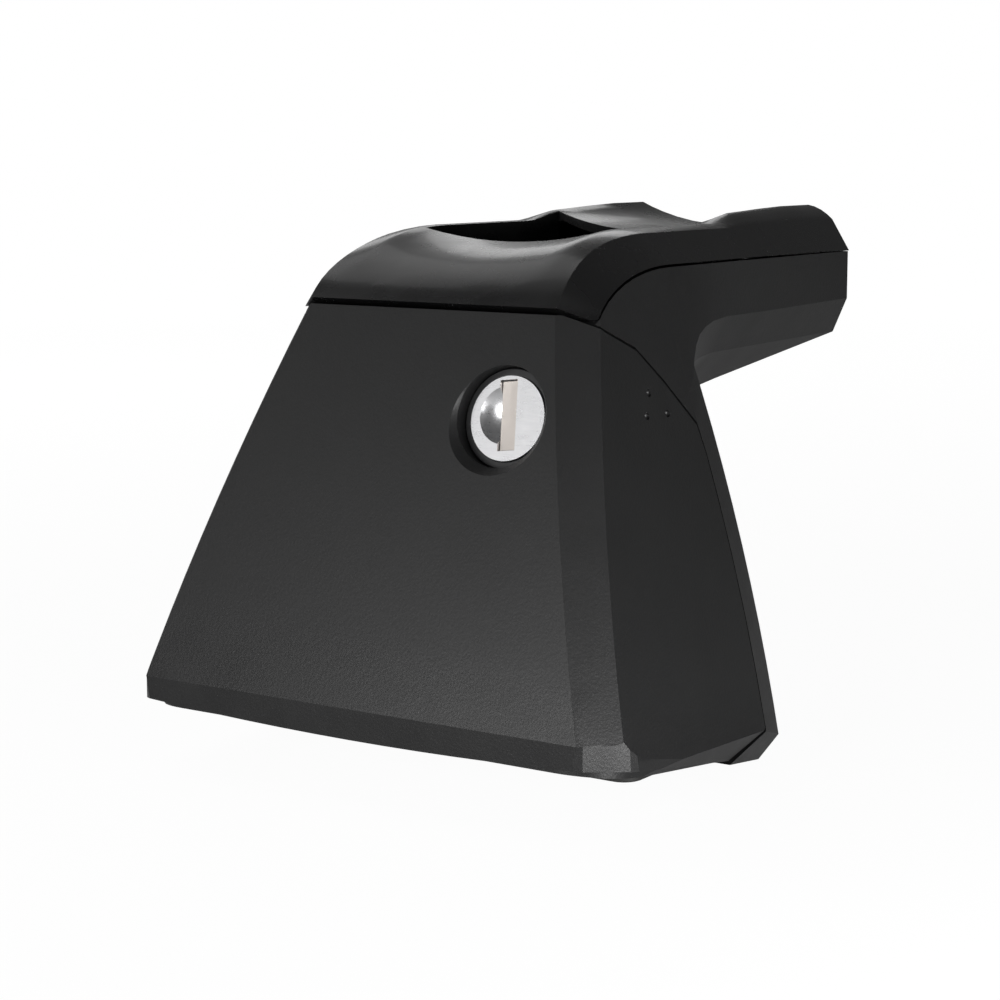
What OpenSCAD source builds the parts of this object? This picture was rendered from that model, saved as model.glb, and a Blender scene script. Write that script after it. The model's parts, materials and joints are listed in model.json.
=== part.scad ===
// Roof bar foot: a tower with a saddle arm for the bar, a lockable front cover and the roof clamp behind it.
// Lengths are millimetres. X runs across the foot, Y back along the arm, Z up.
// The origin is the centre of the roof pad's under face.

/* [Tower] */
// Distance of the front face's foot in front of the pad centre
front_foot = 48.6; // [47:0.2:51]
// Height of the line where the leaning front meets the upright skirt band
band_z = 17; // [15:0.5:19]
// How far the front leans back for each millimetre of height at that line
front_lean = 0.25; // [0.22:0.01:0.28]
// Growth of that lean with height, which bows the front
front_bow = 0.0016; // [0.0012:0.0001:0.0019]
// Half width of the tower at the band line
skirt_half = 54; // [52:0.5:57]
// How far each side closes in for each millimetre of height
side_flare = 0.297; // [0.28:0.005:0.31]
// Depth of the bevel between front and side, along Y
bevel_depth = 6.8; // [5:0.2:8]
// Turn of that bevel away from the side
bevel_turn = 38; // [34:1:42]
// Radius of the skirt's front corners in plan
skirt_corner = 13; // [10:0.5:16]
// Distance of the rear wall behind the pad centre at its fullest height
rear_reach = 18; // [17:0.5:20]
// Height at which the rear wall stands furthest back
rear_mid = 48; // [44:1:52]
// How much the rear wall bows in above and below that height
rear_bow = 0.0022; // [0.001:0.0002:0.003]
// Depth of the rear corner bevel, which the cover's side seam follows
rear_bevel = 9; // [8:0.5:10]
// Turn of the rear corner bevel
rear_turn = 15.5; // [12:0.5:18]
// Height of the base plane above the pad's under face at the pad centre
base_lift = 3.8; // [3.6:0.1:4.6]
// Tilt of the base plane, which rises to the front to clear the roof clip
base_tilt = 8.8; // [8:0.1:9.4]
// Height at which the lower side chamfer starts
chamfer_z = 9.5; // [8.5:0.5:11]
// Inward run of that chamfer for each millimetre down
chamfer_run = 0.7; // [0.5:0.05:0.9]

/* [Shoulder and saddle] */
// Height of the crease along the arm
crease_z = 101; // [99:0.5:104]
// Drop from the crease to the seam between cap and arm
strip_drop = 5.8; // [5:0.2:7]
// Long half axis of the shoulder's curve
shoulder_a = 34; // [32:0.5:36]
// Short half axis of the shoulder's curve
shoulder_b = 17; // [16:0.5:18]
// Distance behind the pad centre at which the shoulder becomes level
shoulder_end = 10; // [8:0.5:12]
// Drop from the crease to the cover's top edge
cover_drop = 13.4; // [13:0.2:14.4]
// Gap between the cover's top edge and the cap
cap_gap = 0.9; // [0.5:0.1:1.2]
// Distance of the two ridges that carry the bar in from the arm's sides
ridge_in = 9.5; // [9:0.5:11]
// Height of the ridges over the crease at the arm's end
ridge_rise = 3.5; // [2.5:0.1:4.5]
// Height of the low rims over the crease beside the pocket
rim_rise = 0.8; // [0.5:0.1:1.4]
// Drop of the saddle's middle under the crease
saddle_dip = 1.7; // [1:0.1:2.5]
// Wall of the cap
cap_wall = 2.2; // [1.8:0.1:2.8]
// Distance of the pocket's edges in from the arm's sides
pocket_in = 10.5; // [10.5:0.5:13]
// Front edge of the pocket
pocket_front = 4; // [3:0.5:7]
// Front edge of the saddle plateau behind the pocket
plateau_y = 52.5; // [48:0.5:56]

/* [Arm] */
// Reach of the arm behind the pad centre
arm_end = 89; // [85:1:100]
// Half width of the arm at the seam
arm_half = 30.5; // [29.5:0.5:31]
// Drop from the crease to the line where the arm's side turns into its first facet
facet_drop = 17; // [16:0.5:18]
// Drop from the crease to the arm's under face at its end
under_drop = 23.8; // [23.7:0.1:25]
// Rise of the under face for each millimetre along the arm
arm_slope = 0.175; // [0.15:0.005:0.19]

/* [Walls and gaps] */
// Wall of the front cover
cover_wall = 2.6; // [2:0.1:3]
// Gap between the cover and the carcass behind it
cover_gap = 0.5; // [0.4:0.1:0.8]
// Wall of the tower and the arm
body_wall = 2.6; // [2.2:0.1:3.2]
// Visible gap of the seams between mouldings
seam_gap = 0.5; // [0.4:0.1:0.7]
// Clearance all round a part that is pushed into place
seat_gap = 0.2; // [0.15:0.05:0.3]
// Radial clearance of a pin or shaft that turns or slides
run_gap = 0.05; // [0.03:0.01:0.08]
// Clearance between flat faces that slide on each other
slide_gap = 0.3; // [0.2:0.05:0.4]

/* [Lock] */
// Distance of the lock in from the tower's side at the band line
lock_in = 33.2; // [32:0.2:36]
// Drop from the crease to the lock's middle
lock_drop = 31; // [30:0.5:32]
// Upward tilt of the lock's axis
lock_tilt = 16; // [14:0.5:20]
// Radius of the recess in the cover
recess_r = 9.4; // [9.3:0.1:9.8]
// Radius of the bright lock core
core_r = 7.8; // [7.4:0.05:7.9]
// Depth of the core's face below the cover's surface
core_sunk = 3; // [2.5:0.1:3.5]
// Length of the core's barrel
core_len = 18; // [17:0.5:19]
// Length of the core's tail
tail_len = 3.8; // [3.6:0.1:4.2]
// Width of the keyway
keyway_w = 3.7; // [3:0.1:3.8]
// Height of the keyway
keyway_h = 13; // [12:0.2:13.2]
// Turn of the core about its axis while the cover is unlocked
keyway_turn = 7; // [0:0.5:12]
// Length of the cam from the lock's axis
cam_len = 13; // [12:0.5:13.5]
// Thickness of the cam
cam_t = 2.2; // [1.8:0.1:2.5]

/* [Clamp] */
// Radius of the clamp bolt's thread
bolt_r = 4; // [3.5:0.1:4]
// Height of the clamp bolt over the base plane
bolt_w = 20; // [19:0.5:21]
// Thickness of the chassis steel
steel_t = 3; // [2.5:0.1:3]
// Inner half width of the chassis channel
channel_half = 20; // [18:0.5:21]
// Height of the chassis cheeks over the base plane
cheek_h = 31; // [30:0.5:31.5]
// Front edge of the chassis, along the base from the pad centre
chassis_front = -34; // [-35:0.5:-33]
// Front face of the clip carriage at rest, along the base
carriage_front = -31; // [-32:0.5:-30]
// Length of the clip carriage along the bolt
carriage_len = 12; // [11:0.5:12.5]
// Middle of the cross nut behind the carriage
nut_v = 2.5; // [2:0.25:3]
// Radius of the cross nut
nut_r = 6.5; // [6:0.1:6.5]
// Radius of the guide pin
pin_r = 2.5; // [2:0.1:2.5]
// Height of the guide pin over the base plane
pin_w = 27.6; // [27.2:0.2:27.8]
// Travel of the carriage
clamp_travel = 7; // [5:0.5:7]
// Half distance between the clip's two screw holes
clip_half = 11; // [10:0.5:12]
// Radius of the clip's screw holes
clip_hole_r = 3; // [2.5:0.5:3]

/* [Bar bolt] */
// Distance of the bar bolt behind the pad centre
bar_y = 30; // [28:0.5:34]
// Radius of the bar bolt's shank
bar_r = 4; // [3:0.5:4]
// Length of the T-head across the foot
tee_len = 19; // [16:0.5:22]
// Width of the T-head
tee_w = 9; // [8:0.5:11]
// Thickness of the T-head
tee_t = 4; // [3:0.5:5]
// Drop from the crease to the T-head's under face while the bar is off
tee_drop = 7; // [6:0.5:7.5]
// Rise of the bar bolt into the bar's channel
bar_travel = 10; // [8:0.5:10.5]

/* [Roof pad] */
// Width of the pad
pad_w = 74; // [66:1:76]
// Depth of the pad
pad_d = 22; // [20:1:22]

/* [Hidden] */
$fn = 48;

// Half size of the blocks that only have to reach past the part
far = 150;
// Length factor of a wall measured level on the leaning front
lean_len = 1.07;
// Same for the flared sides
flare_len = 1.045;
// Steps along each curved outline
curve_steps = 14;
seam_top = crease_z - strip_drop;
cover_top = crease_z - cover_drop;
ridge_x = arm_half - ridge_in;
pocket_half = arm_half - pocket_in;
facet_z = crease_z - facet_drop;
arm_under = crease_z - under_drop;
lock_x = skirt_half - lock_in;
lock_z = crease_z - lock_drop;
tee_base = crease_z - tee_drop;
shoulder_z = crease_z - shoulder_b;
inner_inset = cover_wall + cover_gap;
cavity_inset = inner_inset + body_wall;
floor_t = 3;
channel_z = arm_under - arm_slope * (arm_end - bar_y);
boss_top = crease_z - 13;
plate_t = 2;

function front_y(z) = -front_foot + front_lean * (z - band_z) + front_bow * pow(z - band_z, 2);
function side_x(z) = skirt_half - side_flare * (z - band_z);
function rear_y(z) = rear_reach - rear_bow * pow(z - rear_mid, 2);
function base_z(y) = base_lift - tan(base_tilt) * y;
function levels(low, high) = [for (i = [0:curve_steps]) low + (high - low) * i / curve_steps];
function mirrored(points) = [for (i = [len(points) - 1:-1:0]) [-points[i][0], points[i][1]]];
function blend(a, b, t) = a + (b - a) * t;
function ease(t) = t <= 0 ? 0 : t >= 1 ? 1 : t * t * (3 - 2 * t);

// Extrudes a Y-Z outline across the foot, and an X-Z outline along it
module across(half) rotate([90, 0, 90]) linear_extrude(2 * half, center = true) children();
module along(length) rotate([90, 0, 0]) linear_extrude(length, center = true) children();

// Frame of the tilted base: X across, Y along the base, Z square to it
module on_base() translate([0, 0, base_lift]) rotate([-base_tilt, 0, 0]) children();

// Frame of the lock: Z points out along its axis, with zero on the cover's surface
module at_lock() translate([lock_x, front_y(lock_z), lock_z]) rotate([90 - lock_tilt, 0, 0]) children();

// Outer form of the tower, every face moved in by inset and the base raised by low; an open form has no front
module tower_form(inset = 0, open = false, low = 0, rear_in = -1) {
    back_in = rear_in < 0 ? inset : rear_in;
    zs = levels(-2, crease_z);
    front_in = inset * lean_len;
    side_in = inset * flare_len;
    intersection() {
        across(far) polygon(concat(
            open ? [[-far, -2], [-far, crease_z]] : [for (z = zs) [front_y(z) + front_in, z]],
            [for (i = [curve_steps:-1:0]) [rear_y(zs[i]) - back_in, zs[i]]]));
        along(2 * far) tower_side(side_in);
        corner_prism(0, open ? -far : front_in);
        corner_prism(1, open ? -far : front_in);
        rear_prism(0, inset);
        rear_prism(1, inset);
        if (!open) translate([0, 0, -far]) linear_extrude(2 * far) skirt_plan(inset);
        on_base() translate([-far, -far, low]) cube(2 * far);
    }
}

// Half spaces behind the bevels at the front and rear corners, moved in by the given distance
module corner_prism(side, in) mirror([side, 0, 0]) rotate([0, 0, -bevel_turn]) along(3 * far)
    polygon(concat([[-far, -2]], [for (z = levels(-2, crease_z)) [corner_w(z) - in, z]], [[-far, crease_z]]));
module rear_prism(side, in) mirror([side, 0, 0]) rotate([0, 0, rear_turn]) along(3 * far)
    polygon(concat([[-far, -2]], [for (z = levels(-2, crease_z)) [rear_w(z) - in, z]], [[-far, crease_z]]));
function corner_w(z) = side_x(z) * cos(bevel_turn) - (front_y(z) + bevel_depth) * sin(bevel_turn);
function rear_w(z) = side_x(z) * cos(rear_turn) + (rear_y(z) - rear_bevel) * sin(rear_turn);

// Front view of the tower's sides, with the chamfer that runs in under them
module tower_side(side_in) {
    edge = [[side_x(chamfer_z) - chamfer_run * (chamfer_z + 2) - side_in, -2],
        [side_x(chamfer_z) - side_in, chamfer_z], [side_x(crease_z) - side_in, crease_z]];
    polygon(concat(edge, mirrored(edge)));
}

// Plan of the upright skirt band, with its rounded front corners
module skirt_plan(inset) {
    r = skirt_corner - inset;
    cx = skirt_half + 1.5 - skirt_corner;
    cy = skirt_corner - front_foot;
    corner = [for (a = [-90:7.5:0]) [cx + r * cos(a), cy + r * sin(a)]];
    edge = concat(corner, [[skirt_half + 4 - inset, 0], [skirt_half + 4 - inset, 60]]);
    polygon(concat(edge, mirrored(edge)));
}

// Side view of the seam between cover and tower, moved back by gap
function seam_line(gap) = concat(
    [[-far, cover_top + gap], [front_y(cover_top) + 1, cover_top + gap],
     [front_y(cover_top) + bevel_depth, cover_top - 3.2 + gap],
     [front_y(cover_top) + 15.8, cover_top - 7.1 + gap * 1.2],
     [front_y(cover_top) + 23, cover_top - 13.7 + gap * 1.4],
     [rear_y(crease_z - 36) - rear_bevel - 0.6 + gap * 0.6, crease_z - 35.3 + gap * 0.9]],
    [for (z = [60:-10:20]) [rear_y(z) - rear_bevel + gap, z]],
    [[rear_y(chamfer_z) - rear_bevel + gap, chamfer_z + 0.5 - gap * 0.4],
     [rear_y(chamfer_z) - rear_bevel - 15 + gap, -2 - gap]]);

module cover_side(gap) across(far) polygon(concat([[-far, -10]], seam_line(gap), [[-20, -10]]));

// Side view of the space under the cap's side strips
seam_turn = 28;
function seam_arc(drop) = [for (a = [seam_turn:7.75:90])
    [shoulder_end + 2 - shoulder_a * cos(a), shoulder_z - strip_drop + shoulder_b * sin(a) - drop]];

module under_cap(drop) across(far) polygon(concat(
    [[-far, -10], [-far, seam_arc(drop)[0][1]]], seam_arc(drop),
    [[far, seam_top - drop], [far, -10]]));

// Arm: stations along Y with the heights of its two facet lines and its under face near the tower
arm_root = [for (s = [[8, 29, 37, 47], [11, 27, 34.5, 45], [13.5, 23.6, 31.4, 44], [16, 21.2, 29, 42.6],
    [19, 19.4, 27.2, 40], [23, 18.2, 25.8, 37.6], [28, 17.4, 24.8, 35.4], [35, 17, 24.3, 33.6]])
    [s[0], crease_z - s[1], crease_z - s[2], crease_z - s[3]]];
arm_stations = concat(arm_root, [[48, facet_z, facet_z - 7.2, arm_under - arm_slope * (arm_end - 48)],
    [arm_end, facet_z + 0.6, facet_z - 6.7, arm_under]]);
function arm_side(y, z) = blend(side_x(z), arm_half, ease((y - 8) / 32));
function arm_half_ring(s) = let (x1 = arm_side(s[0], s[1]), x2 = x1 - 3.2, x3 = x2 - 0.95 * (s[2] - s[3]))
    [[arm_side(s[0], seam_top), seam_top], [x1, s[1]], [x2, s[2]], [x3, s[3]]];
function arm_ring(s) = let (half = arm_half_ring(s)) [for (p = concat(half, mirrored(half))) [p[0], s[0], p[1]]];

// Joins rings of points into one solid, with flat ends
module loft(rings) {
    n = len(rings[0]);
    m = len(rings);
    points = [for (r = rings) for (p = r) p];
    polyhedron(points, concat(
        [[for (i = [0:n - 1]) i]],
        skin(n, m),
        [[for (i = [n - 1:-1:0]) (m - 1) * n + i]]));
}

// Faces between neighbouring rings, m rings of n points
function skin(n, m) = [for (k = [0:m - 2]) for (i = [0:n - 1]) for (half = [0, 1]) let (j = (i + 1) % n)
    half == 0 ? [k * n + i, (k + 1) * n + i, (k + 1) * n + j] : [k * n + i, (k + 1) * n + j, k * n + j]];

module arm_form() loft([for (s = arm_stations) arm_ring(s)]);

// Hollow of the arm, open at the top and closed by a wall at both ends
hollow_start = 23;
module arm_hollow() intersection() {
    along(2 * far) arm_hollow_front();
    across(far) polygon([[hollow_start, crease_z + 5], [hollow_start, hollow_floor(hollow_start)],
        [arm_end - body_wall, hollow_floor(arm_end - body_wall)], [arm_end - body_wall, crease_z + 5]]);
}
function hollow_floor(y) = arm_under - arm_slope * (arm_end - y) + body_wall;
module arm_hollow_front() {
    x = arm_half - body_wall;
    edge = [[x - 3.2 - 14, facet_z - 5.8 - 14], [x - 3.2, facet_z - 5.8], [x, facet_z], [x, crease_z + 5]];
    polygon(concat(edge, mirrored(edge)));
}

// Ribs that stay standing in the arm's hollow
rib_t = 2;
rib_y = bar_y + 14;
module arm_ribs() {
    for (y = [rib_y, rib_y + 24]) translate([-far, y, 0]) cube([2 * far, rib_t, seam_top - 4]);
    translate([-rib_t / 2, rib_y, 0]) cube([rib_t, far, seam_top - 6]);
    translate([0, bar_y, 0]) {
        cylinder(r = 8, h = boss_top);
        cylinder(r = 12.5, h = seat_z + body_wall);
    }
    for (x = [-1, 1]) translate([x * cap_screw_x, cap_screw_y, 0]) {
        cylinder(r = 4, h = cap_post_z);
        cylinder(r = 6, h = cap_head_z + 2);
    }
}
cap_screw_x = arm_half - 18.5;
cap_screw_y = arm_end - 10;
cap_screw_r = 2;
cap_post_z = crease_z - 11;

module tower_body() {
    color([0.13, 0.13, 0.135]) difference() {
        union() {
            intersection() {
                union() {
                    tower_form(inner_inset);
                    difference() {
                        tower_form();
                        cover_side(seam_gap);
                    }
                    arm_form();
                }
                under_cap(seam_gap);
            }
        }
        tower_hollow();
        difference() {
            arm_hollow();
            arm_ribs();
        }
        clip_window();
        pad_plug_holes();
        chassis_screw_holes();
        bar_bolt_bore();
        cap_screw_holes();
        latch_screw_hole();
    }
}

// Space behind the cover, open to the front, with the shelf and sockets that stay in it
module tower_hollow() difference() {
    intersection() {
        tower_form(cavity_inset, true, floor_t, body_wall);
        under_cap(seam_gap + body_wall);
    }
    latch_shelf();
    peg_sockets();
    arm_root_web();
}

// Web that carries the arm's load down into the rear wall
module arm_root_web() for (x = [-14, 10]) translate([x, 2, crease_z - 45]) cube([rib_t, 20, 40]);

// Shelf under the lock, with the block that the latch plate bears on
shelf_z = lock_z - 29.4;
shelf_t = 2.5;
module latch_shelf() {
    translate([lock_x - 7, -20, shelf_z]) cube([14, 42, shelf_t]);
    intersection() {
        at_lock() translate([-6, -26, latch_front]) cube([12, 15, 4]);
        translate([-far, -far, shelf_z + 1]) cube(2 * far);
    }
}
// Planes of the lock's stack, measured along its axis
core_back = -core_sunk - core_len;
cam_front = core_back - tail_len;
latch_back = cam_front + 0.4;
latch_front = latch_back + plate_t;

// Sockets for the cover's two locating pegs
peg_x = 40;
peg_z = 26;
peg_r = 3;
module peg_sockets() for (side = [-1, 1]) translate([side * peg_x, -29, peg_z]) rotate([-90, 0, 0])
    difference() {
        union() {
            cylinder(r = 5.5, h = 12);
            translate([side > 0 ? 0 : -20, -5.5, 0]) cube([20, 11, 12]);
        }
        translate([0, 0, -1]) cylinder(r = peg_r + seat_gap, h = 20);
    }

// Window in the base through which the clip comes up to the carriage
window_half = 16;
module clip_window() on_base() translate([-window_half, -far, -5]) cube([2 * window_half, far - 12.5, 12]);

plug_x = pad_w / 2 - 13;
plug_r = 4;
module pad_plug_holes() for (side = [-1, 1]) translate([side * plug_x, 0, -1])
    cylinder(r = plug_r + seat_gap, h = 7);

screw_x = channel_half + 10;
chassis_back = 10;
screw_vs = [chassis_front + 10, chassis_back - 6];
module chassis_screw_spots() for (x = [-screw_x, screw_x], v = screw_vs) on_base() translate([x, v, 0]) children();
screw_r = 2.5;
module chassis_screw_holes() chassis_screw_spots() translate([0, 0, -1]) cylinder(r = screw_r + seat_gap, h = 6);

// Bore for the bar bolt and the flat seat for its washer
seat_z = channel_z + 2.2;
module bar_bolt_bore() translate([0, bar_y, 0]) {
    cylinder(r = bar_r + seat_gap, h = far);
    translate([0, 0, 40]) cylinder(r = washer_r + 1.5, h = seat_z - 40);
}

module cap_screw_holes() for (side = [-1, 1]) translate([side * cap_screw_x, cap_screw_y, 0]) {
    cylinder(r = cap_screw_r + seat_gap, h = far);
    cylinder(r = 4, h = cap_head_z);
}
cap_head_z = crease_z - 21.5;
cap_head_t = 2.2;

latch_screw_y = -16.6;
module latch_screw_hole() at_lock() translate([0, latch_screw_y, latch_front - 1]) cylinder(r = 1.6, h = 4.4);

// Cap: stations from the front seam over the shoulder to the arm's end. A station holds the crease point, the seam
// point, the outward direction and the rise and dip of the saddle there.
front_turn = 16.4;
function crease_at(a) = [shoulder_end - shoulder_a * cos(a), shoulder_z + shoulder_b * sin(a)];
function seam_at(a) = [shoulder_end + 2 - shoulder_a * cos(a), shoulder_z - strip_drop + shoulder_b * sin(a)];
function outward(a) = let (n = [-cos(a) / shoulder_a, sin(a) / shoulder_b]) n / norm(n);
function shoulder_station(t) = let (a = blend(front_turn, 90, t), b = blend(seam_turn, 90, t))
    [crease_at(a), seam_at(b), outward(a), rim_rise * ease((t - 0.1) / 0.8), saddle_dip * ease((t - 0.1) / 0.8),
     blend(lip_half, saddle_half, ease(t * 1.4))];
lip_half = arm_half - 2.6;
saddle_half = arm_half - 4.7;
function plateau_share(y) = ease((y - plateau_y + 12) / 14) * 0.72 + ease((y - plateau_y) / 24) * 0.28;
function arm_station(y) = [[y, crease_z + 0.5 * plateau_share(y)], [y, seam_top], [0, 1],
    blend(rim_rise, ridge_rise - 0.5, plateau_share(y)), saddle_dip, blend(saddle_half, saddle_half + 0.8, (y - 12) / 77)];
cap_stations = concat([for (i = [0:12]) shoulder_station(i / 12)],
    [for (d = [-34.5, -22.5, -12.5, -9.5, -6.5, -3.5, 0, 5.5, 13.5, 23.5]) arm_station(plateau_y + d)],
    [arm_station(arm_end)]);

// Cross section of the cap's outside at one station, from the middle to the seam
cap_xs = [for (f = [0, 0.19, 0.38, 0.57, 0.74, 0.88]) f * ridge_x];
function saddle_h(x, rise, dip) = -dip + (rise + dip) * pow(x / ridge_x, 2);
function ridge_h(x, rise, half) = rise * (1 - pow((x - ridge_x + 1) / (half - ridge_x + 1), 2));
function cap_h(x, s) = x < ridge_x - 1 ? min(saddle_h(x, s[3], s[4]), s[3]) : ridge_h(x, s[3], s[5]);
function cap_half(s, in) = let (xs = concat(cap_xs, [for (t = [0.12, 0.35, 0.6, 0.82, 1]) blend(ridge_x - 1, s[5], t)]))
    concat([for (x = xs) let (f = 1 - in / s[5], p = s[0] + s[2] * (cap_h(x, s) - in)) [x * f, p[0], p[1]]],
        [[min(side_x(s[1][1]), arm_half + 3) - in, s[1][0], s[1][1]]]);
function flip_half(h) = [for (i = [len(h) - 1:-1:1]) [-h[i][0], h[i][1], h[i][2]]];
function cap_ring(s) = let (outer = cap_half(s, 0), inner = cap_half(s, cap_wall))
    concat(flip_half(outer), outer, [for (i = [len(inner) - 1:-1:0]) inner[i]],
        [for (i = [1:len(inner) - 1]) [-inner[i][0], inner[i][1], inner[i][2]]]);

module cap_shell() {
    rings = [for (s = cap_stations) cap_ring(s)];
    n = len(rings[0]);
    m = len(rings);
    h = n / 2;
    polyhedron([for (r = rings) for (p = r) p], concat(
        [for (i = [0:h - 2]) [i, i + 1, n - 2 - i, n - 1 - i]],
        skin(n, m),
        [for (i = [0:h - 2]) [(m - 1) * n + n - 1 - i, (m - 1) * n + n - 2 - i, (m - 1) * n + i + 1, (m - 1) * n + i]]));
}

pocket_wall = 1.8;
pocket_floor = crease_z - 9;
module pocket_shape(low, top) translate([-pocket_half, pocket_front, low])
    cube([2 * pocket_half, plateau_y - pocket_front, top - low]);

// Side view of the walls that line the pocket, up to half the cap's skin
lining_low = seam_top + 0.5;
module lining_side() {
    mid = cap_wall / 2;
    front = shoulder_station(0.8);
    polygon([[pocket_front - pocket_wall, lining_low], [front[0][0] + 2, front[0][1] + 0.1 - mid],
        [shoulder_end, crease_z + rim_rise - mid], [plateau_y - 14.5, crease_z + rim_rise - mid],
        for (d = [-9.5, -6.5, -3.5, 0]) let (s = arm_station(plateau_y + d)) [s[0][0], s[0][1] + s[3] - mid],
        [plateau_y, lining_low]]);
}

module saddle_cap() color([0.07, 0.07, 0.075]) difference() {
    union() {
        cap_shell();
        for (side = [0, 1]) mirror([side, 0, 0]) translate([pocket_half + pocket_wall / 2, 0, 0])
            across(pocket_wall / 2) lining_side();
        translate([-pocket_half - 1, pocket_front - pocket_wall, lining_low])
            cube([2 * pocket_half + 2, pocket_wall, crease_z - 2.8 - lining_low]);
        for (side = [-1, 1]) translate([side * cap_screw_x, cap_screw_y, cap_post_z])
            cylinder(r = 4, h = crease_z - 0.9 - cap_post_z);
        translate([0, arm_end - cap_wall / 2, 0]) along(cap_wall) cap_end();
    }
    pocket_shape(pocket_floor, crease_z + 8);
    for (side = [-1, 1]) translate([side * cap_screw_x, cap_screw_y, cap_head_z])
        cylinder(r = cap_screw_r - 0.2, h = 18);
}

// Front view of the cap's end wall
module cap_end() {
    edge = [for (p = cap_half(cap_stations[len(cap_stations) - 1], 0.7)) [p[0], p[2]]];
    polygon(concat(edge, mirrored([for (i = [1:len(edge) - 1]) edge[i]])));
}

// Cover: the tower's outer form as a shell, cut back to the seam
dot_r = 0.75;
module front_cover() color([0.2, 0.2, 0.205]) difference() {
    union() {
        intersection() {
            difference() {
                tower_form();
                tower_form(cover_wall, false, -5, -5);
            }
            cover_side(0);
        }
        intersection() {
            tower_form();
            union() {
                intersection() {
                    at_lock() translate([0, 0, -14]) cylinder(r = recess_r + 2.2, h = 14);
                    along(2 * far) tower_side(cavity_inset * flare_len + 0.5);
                }
                for (side = [-1, 1]) translate([side * peg_x, -47, peg_z]) rotate([-90, 0, 0]) {
                    cylinder(r = peg_r, h = 24);
                    cylinder(r = 5, h = 12);
                }
                cover_ribs();
            }
        }
    }
    at_lock() translate([0, 0, -20]) cylinder(r = recess_r, h = 40);
    at_lock() translate([0, 0, -0.8]) cylinder(r1 = recess_r, r2 = recess_r + 3.6, h = 4);
    for (side = [0, 1]) mirror([side, 0, 0]) for (d = grip_dots)
        translate([side_x(lock_z + d[1]), d[0], lock_z + d[1]]) sphere(r = dot_r, $fn = 24);
}
// Places of the three grip dots on each side face: distance along Y and height over the lock's middle
grip_dots = [[-6.4, 2.8], [-8.9, -1.1], [-1.6, -1.3]];

// Stiffening ribs on the cover's inner face, clear of the carcass
module cover_ribs() for (x = [-24, 0]) translate([x - 0.9, -60, 22]) intersection() {
    cube([1.8, 40, 60]);
    translate([-x, 60, -22]) difference() {
        tower_form(cover_wall - 0.2);
        tower_form(cover_wall + 2.2, false, -5);
    }
}

module roof_pad() color([0.05, 0.05, 0.05]) {
    intersection() {
        rounded_block(pad_w, pad_d, 12, 4);
        translate([0, 0, base_lift]) rotate([-base_tilt, 0, 0]) translate([-far, -far, -2 * far]) cube(2 * far);
    }
    for (side = [-1, 1]) translate([side * plug_x, 0, 1]) cylinder(r = plug_r, h = 4.6);
}

module rounded_block(w, d, h, r) union() {
    translate([-w / 2 + r, -d / 2, 0]) cube([w - 2 * r, d, h]);
    translate([-w / 2, -d / 2 + r, 0]) cube([w, d - 2 * r, h]);
    for (x = [-1, 1], y = [-1, 1]) translate([x * (w / 2 - r), y * (d / 2 - r), 0]) cylinder(r = r, h = h);
}

// Chassis: folded steel channel with flanges to the base, slots for the guide pin and eyes for the cross nut
flange_x = channel_half + 16;
module chassis() color([0.45, 0.46, 0.48]) on_base() difference() {
    union() {
        for (side = [0, 1]) mirror([side, 0, 0]) {
            translate([channel_half, chassis_front, floor_t])
                cube([flange_x - channel_half, chassis_back - chassis_front, steel_t]);
            translate([channel_half, chassis_front, floor_t])
                cube([steel_t, chassis_back - chassis_front, cheek_h - floor_t]);
        }
        translate([-channel_half, chassis_back - 16, floor_t]) cube([2 * channel_half, 16, steel_t]);
    }
    for (side = [0, 1]) mirror([side, 0, 0]) translate([channel_half - 1, chassis_front, cheek_h]) rotate([0, 90, 0])
        cylinder(r = 9, h = steel_t + 2, $fn = 4);
    translate([-far, nut_v, bolt_w]) rotate([0, 90, 0]) cylinder(r = nut_r + seat_gap, h = 2 * far);
    pin_slot();
    for (x = [-screw_x, screw_x], v = screw_vs) translate([x, v, 0]) cylinder(r = screw_r + seat_gap, h = 10);
}

// Guide pin's slot through both cheeks
pin_v = carriage_front + carriage_len / 2;
module pin_slot() {
    for (v = [pin_v, pin_v + clamp_travel]) translate([-far, v, pin_w]) rotate([0, 90, 0])
        cylinder(r = pin_r + slide_gap, h = 2 * far);
    translate([-far, pin_v, pin_w - pin_r - slide_gap]) cube([2 * far, clamp_travel, 2 * (pin_r + slide_gap)]);
}

module chassis_screws() color([0.6, 0.6, 0.62]) chassis_screw_spots() {
    translate([0, 0, 0.4]) cylinder(r = screw_r, h = floor_t + steel_t);
    translate([0, 0, floor_t + steel_t]) difference() {
        cylinder(r = 4.4, h = 2.8);
        translate([0, 0, 1.2]) cylinder(r = 1.8, h = 3, $fn = 6);
    }
}

// Frame of the clamp bolt: Z points back along it, with zero on the carriage's front face
module at_bolt() on_base() translate([0, carriage_front, bolt_w]) rotate([-90, 0, 0]) children();

// Clamp bolt: hex-socket head in front of the carriage, thread in the cross nut
head_h = 7;
head_r = 6.5;
ring_t = 1;
washer_t = 1.6;
ring_gap = 0.35;
bolt_reach = nut_v + 1 - carriage_front;
module clamp_bolt() color([0.55, 0.55, 0.57]) at_bolt() difference() {
    union() {
        translate([0, 0, -washer_t - head_h]) cylinder(r = head_r, h = head_h);
        translate([0, 0, -washer_t - 1]) cylinder(r = bolt_r, h = bolt_reach + washer_t + 1);
    }
    translate([0, 0, -washer_t - head_h - 1]) cylinder(r = 2.9, h = 5, $fn = 6);
    translate([0, 0, carriage_len + ring_gap - 0.05]) ring(bolt_r + 1, bolt_r - 0.6, ring_t + 0.1);
}
module ring(outer, inner, h) difference() {
    cylinder(r = outer, h = h);
    translate([0, 0, -1]) cylinder(r = inner, h = h + 2);
}

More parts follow.
